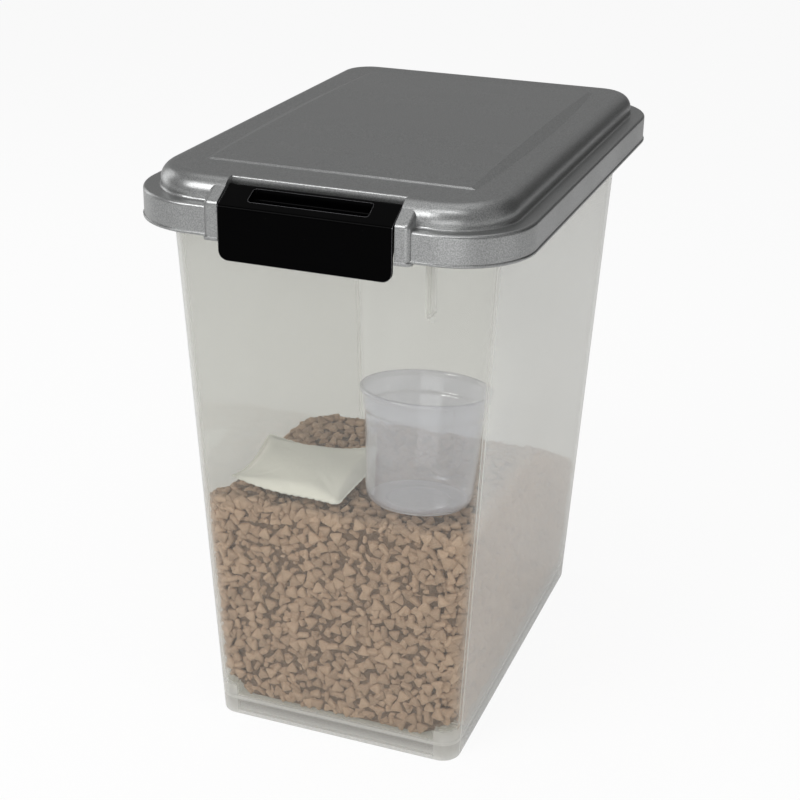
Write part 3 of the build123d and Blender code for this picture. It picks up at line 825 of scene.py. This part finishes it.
# Painted shade: the core is coloured dark brown, standing for the food in shade deep inside the fill.
def painted_shade_core_material():
    material, tree = new_material("food_painted_in_shade")
    grain = noise(tree, 260, 3.0)
    body = add(
        tree, "ShaderNodeBsdfPrincipled",
        Base_Color=tone(tree, grain, (0.35, (0.120, 0.076, 0.050)), (0.65, (0.200, 0.130, 0.088))),
        Roughness=0.9,
        Normal=bump(tree, grain, 2.0, 1.0),
    )
    finish_with(tree, body.outputs[0])
    return material


kibble_core = food_core()
dress(kibble_core, painted_shade_core_material())
for piece in (kibble_core, *food_pieces):
    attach(piece, "tub")
    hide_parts("kibble")
print("food faces:", [len(o.data.polygons) for o in food_pieces])

# %% [markdown]
# ## The measuring cup
# The cup is a thin clear cup with a turned rim. It is a lathe shape: a profile of radius and
# height, swept round an axis. Short steps round each corner of the profile give the soft edges
# that catch the light. It stands on the food and leans back a little, so it is swept upright
# first and then turned and placed, by its CAD box.

# %% The cup's profile
CUP_LEAN = math.radians(7.5)
CUP_HEIGHT, CUP_RIM, CUP_LIP = 0.090, 0.0504, 0.0866
CUP_FLOOR, CUP_RING = 0.0013, 0.0022
CUP_ASIDE, CUP_BACK, CUP_RISE = -0.0015, 0.003, 0.001
BASE_TOP, BASE_RADIUS = 0.0035, 0.039
CORNER_CUT, MANY_STEPS = 0.0016, 4
cup_outside = [
    (0.0, 0.0000, 0), (0.0360, 0.0000, 6), (0.0412, 0.0062, 7), (0.0454, 0.0720, 3), (0.0470, 0.0736, 3),
    (0.0474, 0.0860, 2), (CUP_RIM, CUP_LIP, 3), (CUP_RIM, CUP_HEIGHT, 4),
]
cup_inside = [
    (0.0466, CUP_HEIGHT, 4), (0.0460, CUP_LIP, 3), (0.0456, 0.0742, 3), (0.0441, 0.0724, 3),
    (0.0399, 0.0064, 6), (0.0352, CUP_FLOOR, 5), (0.0262, CUP_FLOOR, 2), (0.0258, CUP_RING, 2),
    (0.0246, CUP_RING, 2), (0.0242, CUP_FLOOR, 2), (0.0, CUP_FLOOR, 0),
]


def softened(profile):
    """Replaces each inner corner of a profile by a short arc of a few steps."""
    points = [np.array(profile[0][:2])]
    for before, (radius, height, steps), after in zip(profile, profile[1:], profile[2:]):
        here = np.array((radius, height))
        legs = [np.array(other[:2]) - here for other in (before, after)]
        wanted = CORNER_CUT * (2 if steps > MANY_STEPS else 1)
        cut = min([wanted] + [0.45 * np.linalg.norm(leg) for leg in legs])
        start, end = (here + leg / np.linalg.norm(leg) * cut for leg in legs)
        for k in range(steps + 1):
            t = k / max(steps, 1)
            points.append((1 - t) ** 2 * start + 2 * t * (1 - t) * here + t * t * end)
    points.append(np.array(profile[-1][:2]))
    return points


def lathe(name, profile, sides):
    """Closed surface swept round Z from a profile that starts and ends on the axis."""
    mesh = bmesh.new()
    rings = []
    for radius, height in profile:
        if radius < 1e-6:
            rings.append([mesh.verts.new((0, 0, height))])
            continue
        angles = [2 * math.pi * k / sides for k in range(sides)]
        rings.append([mesh.verts.new((radius * math.cos(a), radius * math.sin(a), height)) for a in angles])
    for low, high in zip(rings, rings[1:]):
        for k in range(sides):
            n = (k + 1) % sides
            corners = [low[0]] if len(low) == 1 else [low[n], low[k]]
            corners += [high[0]] if len(high) == 1 else [high[k], high[n]]
            mesh.faces.new(corners)
    bmesh.ops.recalc_face_normals(mesh, faces=mesh.faces)
    data = bpy.data.meshes.new(name)
    mesh.to_mesh(data)
    mesh.free()
    data.shade_smooth()
    return in_scene(name, data)


def mark_base(data):
    """Marks the points of the cup's base, where the plastic is thicker."""
    base = data.attributes.new("base", "FLOAT", "POINT")
    in_base = [float(v.co.z < BASE_TOP and v.co.xy.length < BASE_RADIUS) for v in data.vertices]
    base.data.foreach_set("value", in_base)


cup = lathe("cup_body", softened(cup_outside + cup_inside), 96)
mark_base(cup.data)
cup_low, cup_high = (Vector(c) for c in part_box("measuring_cup"))
cup_top = CUP_HEIGHT * math.cos(CUP_LEAN) + CUP_RIM * math.sin(CUP_LEAN)
cup_reach = CUP_HEIGHT * math.sin(CUP_LEAN) + CUP_RIM * math.cos(CUP_LEAN)
cup_base = Vector((
    (cup_low.x + cup_high.x) / 2 + CUP_ASIDE,
    cup_high.y + CUP_BACK - cup_reach,
    cup_high.z + CUP_RISE - cup_top,
))
cup.data.transform(Matrix.Translation(cup_base) @ Matrix.Rotation(-CUP_LEAN, 4, "X"))
print("cup stands at", tuple(round(c, 4) for c in cup_base))

# %% Cup finish
def cup_material():
    material, tree = new_material("clear_bluish_polypropylene")
    scuff = noise(tree, 140, 4.0, where=object_place(tree))
    slant = add(tree, "ShaderNodeLayerWeight", Blend=0.5).outputs["Facing"]
    haze = spread(tree, slant, 0.05, 0.95, 0.19, 0.26, smooth=True)
    body = add(
        tree, "ShaderNodeBsdfPrincipled",
        Base_Color=(0.90, 0.90, 0.95, 1),
        Roughness=spread(tree, scuff, 0.3, 0.7, 0.30, 0.45),
        Specular_IOR_Level=0.3,
    )
    glow = add(tree, "ShaderNodeBsdfTranslucent", Color=(0.93, 0.93, 0.98, 1))
    wall = mix(tree, 0.5, body.outputs[0], glow.outputs[0])
    clear = add(tree, "ShaderNodeBsdfTransparent", Color=(0.95, 0.955, 0.98, 1))
    base = add(tree, "ShaderNodeAttribute", attribute_name="base").outputs["Fac"]
    cloudy = calc(tree, "MAXIMUM", haze, calc(tree, "MULTIPLY", base, 0.75))
    mixed = mix(tree, lets_light_in(tree, cloudy), clear.outputs[0], wall)
    finish_with(tree, glossy_skin(tree, mixed, slant, 0.06, 0.09))
    return material


dress(cup, cup_material())
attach(cup, "cup")
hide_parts("measuring_cup")
print("cup finished:", len(cup.data.polygons), "faces")

# %% [markdown]
# ## The desiccant sachet
# The sachet is a paper pouch of beads, sealed round its edge. Two sheets share their border here,
# and a cloth simulation blows them apart with pressure, which draws in the sides and leaves pointed
# corners and small puckers, as real paper does. The flat seal is added round the border after
# that, three corners are curled up, and the whole pouch is laid on the food in the CAD solid's place.

# %% Two sheets that share a border
SACHET_WIDTH, SACHET_DEPTH, SACHET_SEAL = 0.0950, 0.0880, 0.0030
SACHET_TURN = math.radians(5.0)
SHEETS_APART = 0.0012
ACROSS, ALONG = 44, 40


def flat_pouch():
    """Two grids of faces with one shared border, a hair apart in the middle."""
    mesh = bmesh.new()
    grids = {}
    for side in (1, -1):
        for i in range(ACROSS + 1):
            for j in range(ALONG + 1):
                u, v = i / ACROSS, j / ALONG
                on_border = i in (0, ACROSS) or j in (0, ALONG)
                if on_border and side < 0:
                    grids[side, i, j] = grids[1, i, j]
                    continue
                lift = side * SHEETS_APART * math.sin(math.pi * u) ** 0.5 * math.sin(math.pi * v) ** 0.5
                x = (u - 0.5) * (SACHET_WIDTH - 2 * SACHET_SEAL)
                y = (v - 0.5) * (SACHET_DEPTH - 2 * SACHET_SEAL)
                grids[side, i, j] = mesh.verts.new((x, y, lift))
        for i in range(ACROSS):
            for j in range(ALONG):
                ring = [grids[side, i + a, j + b] for a, b in ((0, 0), (1, 0), (1, 1), (0, 1))]
                mesh.faces.new(ring if side > 0 else ring[::-1])
    mesh.verts.index_update()
    border = [(i, 0) for i in range(ACROSS)] + [(ACROSS, j) for j in range(ALONG)]
    border += [(i, ALONG) for i in range(ACROSS, 0, -1)] + [(0, j) for j in range(ALONG, 0, -1)]
    order = [grids[1, i, j].index for i, j in border]
    data = bpy.data.meshes.new("sachet_flat")
    mesh.to_mesh(data)
    mesh.free()
    return in_scene("sachet_flat", data), order


sachet_flat, seam_order = flat_pouch()
print("pouch before filling:", len(sachet_flat.data.vertices), "points")

# %% Fill the pouch with pressure
FILL_FRAMES = 20
cloth = sachet_flat.modifiers.new("paper", "CLOTH")
paper = cloth.settings
paper.quality = 6
paper.mass = 0.2
paper.tension_stiffness = paper.compression_stiffness = 40
paper.shear_stiffness = 20
paper.bending_stiffness = 0.6
paper.use_pressure = True
paper.uniform_pressure_force = 3.0
paper.effector_weights.gravity = 0
cloth.collision_settings.use_self_collision = False
clock = bpy.context.scene
for moment in range(1, FILL_FRAMES + 1):
    clock.frame_set(moment)
graph = bpy.context.evaluated_depsgraph_get()
filled = sachet_flat.evaluated_get(graph).to_mesh()
blown = np.array([v.co for v in filled.vertices])
pouch_faces = [tuple(f.vertices) for f in filled.polygons]
sachet_flat.evaluated_get(graph).to_mesh_clear()
clock.frame_set(1)
bpy.data.objects.remove(sachet_flat)
print("pouch blown to", blown.max(0) - blown.min(0))

# %% Seal, lay down and finish the pouch
RIPPLE, RIPPLE_STEP, SEAM_RISE = 0.00022, 1.9, 0.0042
CURLS = (((-1, 1), 0.9, 1.1, 0.0070), ((1, 1), 0.7, 1.2, 0.0075), ((-1, -1), 0.8, 1.1, 0.0085))
DROOP, TUCK = 0.0028, 0.0080


def laid_pouch(points):
    """Adds the flat seal round the seam, then lays the pouch in the CAD solid's place."""
    low, high = (np.array(c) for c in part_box("desiccant_sachet"))
    points = points - (points.max(0) + points.min(0)) / 2
    seam = points[seam_order]
    following, previous = np.roll(seam, -1, 0), np.roll(seam, 1, 0)
    along = following - previous
    outward = np.stack((along[:, 1], -along[:, 0], np.zeros(len(along))), 1)
    outward /= np.linalg.norm(outward, axis=1)[:, None]
    rim = seam + outward * SACHET_SEAL
    rim[:, 2] += np.sin(np.arange(len(seam)) * RIPPLE_STEP) * RIPPLE
    everything = np.concatenate((points, rim))
    size = everything.max(0) - everything.min(0)
    everything[:, :2] *= np.array((SACHET_WIDTH, SACHET_DEPTH)) / size[:2]
    above = everything[:, 2] > 0
    top_scale = (high[2] - low[2] - SEAM_RISE) / everything[:, 2].max()
    everything[:, 2] *= np.where(above, top_scale, 1.0)
    x, y = everything[:, 0] / SACHET_WIDTH * 2, everything[:, 1] / SACHET_DEPTH * 2
    curl = sum(rising(a * x + b * y, start, length) ** 2 * lift for (a, b), start, length, lift in CURLS)
    droop = rising(x - y, 1.0, 1.0) ** 2 * DROOP
    everything[:, 2] = np.maximum(everything[:, 2], -SEAM_RISE) + SEAM_RISE + curl - droop
    everything[:, 2] = np.maximum(everything[:, 2], 0) + low[2]
    everything[:, 0] -= rising(x - y, 0.9, 1.1) * TUCK
    turn = np.array(Matrix.Rotation(SACHET_TURN, 2))
    everything[:, :2] = everything[:, :2] @ turn.T + (low[:2] + high[:2]) / 2
    return everything


sachet_points = laid_pouch(blown)
count, rim_count = len(blown), len(seam_order)
seal_faces = [
    (seam_order[k], count + k, count + (k + 1) % rim_count, seam_order[(k + 1) % rim_count])
    for k in range(rim_count)
]
sachet_mesh = bpy.data.meshes.new("sachet_pouch")
sachet_mesh.from_pydata([tuple(p) for p in sachet_points], [], pouch_faces + seal_faces)
sachet_mesh.validate()
sachet_mesh.shade_smooth()
sachet = in_scene("sachet_pouch", sachet_mesh)
print("sachet:", len(sachet_mesh.polygons), "faces", sachet_points.min(0), sachet_points.max(0))


def sachet_material():
    material, tree = new_material("fibrous_white_paper")
    where = object_place(tree)
    beads = add(tree, "ShaderNodeTexVoronoi", Vector=where, Scale=380.0, feature="SMOOTH_F1")
    fibre = noise(tree, 1500, 4.0, 0.6, where=where)
    folds = noise(tree, 55, 3.0, 0.55, 0.4, where=where)
    relief = bump(tree, beads.outputs["Distance"], 0.35, 0.35)
    relief = bump(tree, folds, 1.2, 0.4, relief)
    relief = bump(tree, fibre, 0.05, 0.3, relief)
    body = add(
        tree, "ShaderNodeBsdfPrincipled",
        Base_Color=tone(tree, fibre, (0.30, (0.89, 0.88, 0.80)), (0.70, (0.95, 0.94, 0.87))),
        Roughness=0.75,
        Specular_IOR_Level=0.25,
        Sheen_Weight=0.15,
        Normal=relief,
    )
    finish_with(tree, body.outputs[0])
    return material


dress(sachet, sachet_material())
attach(sachet, "sachet")
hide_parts("desiccant_sachet")
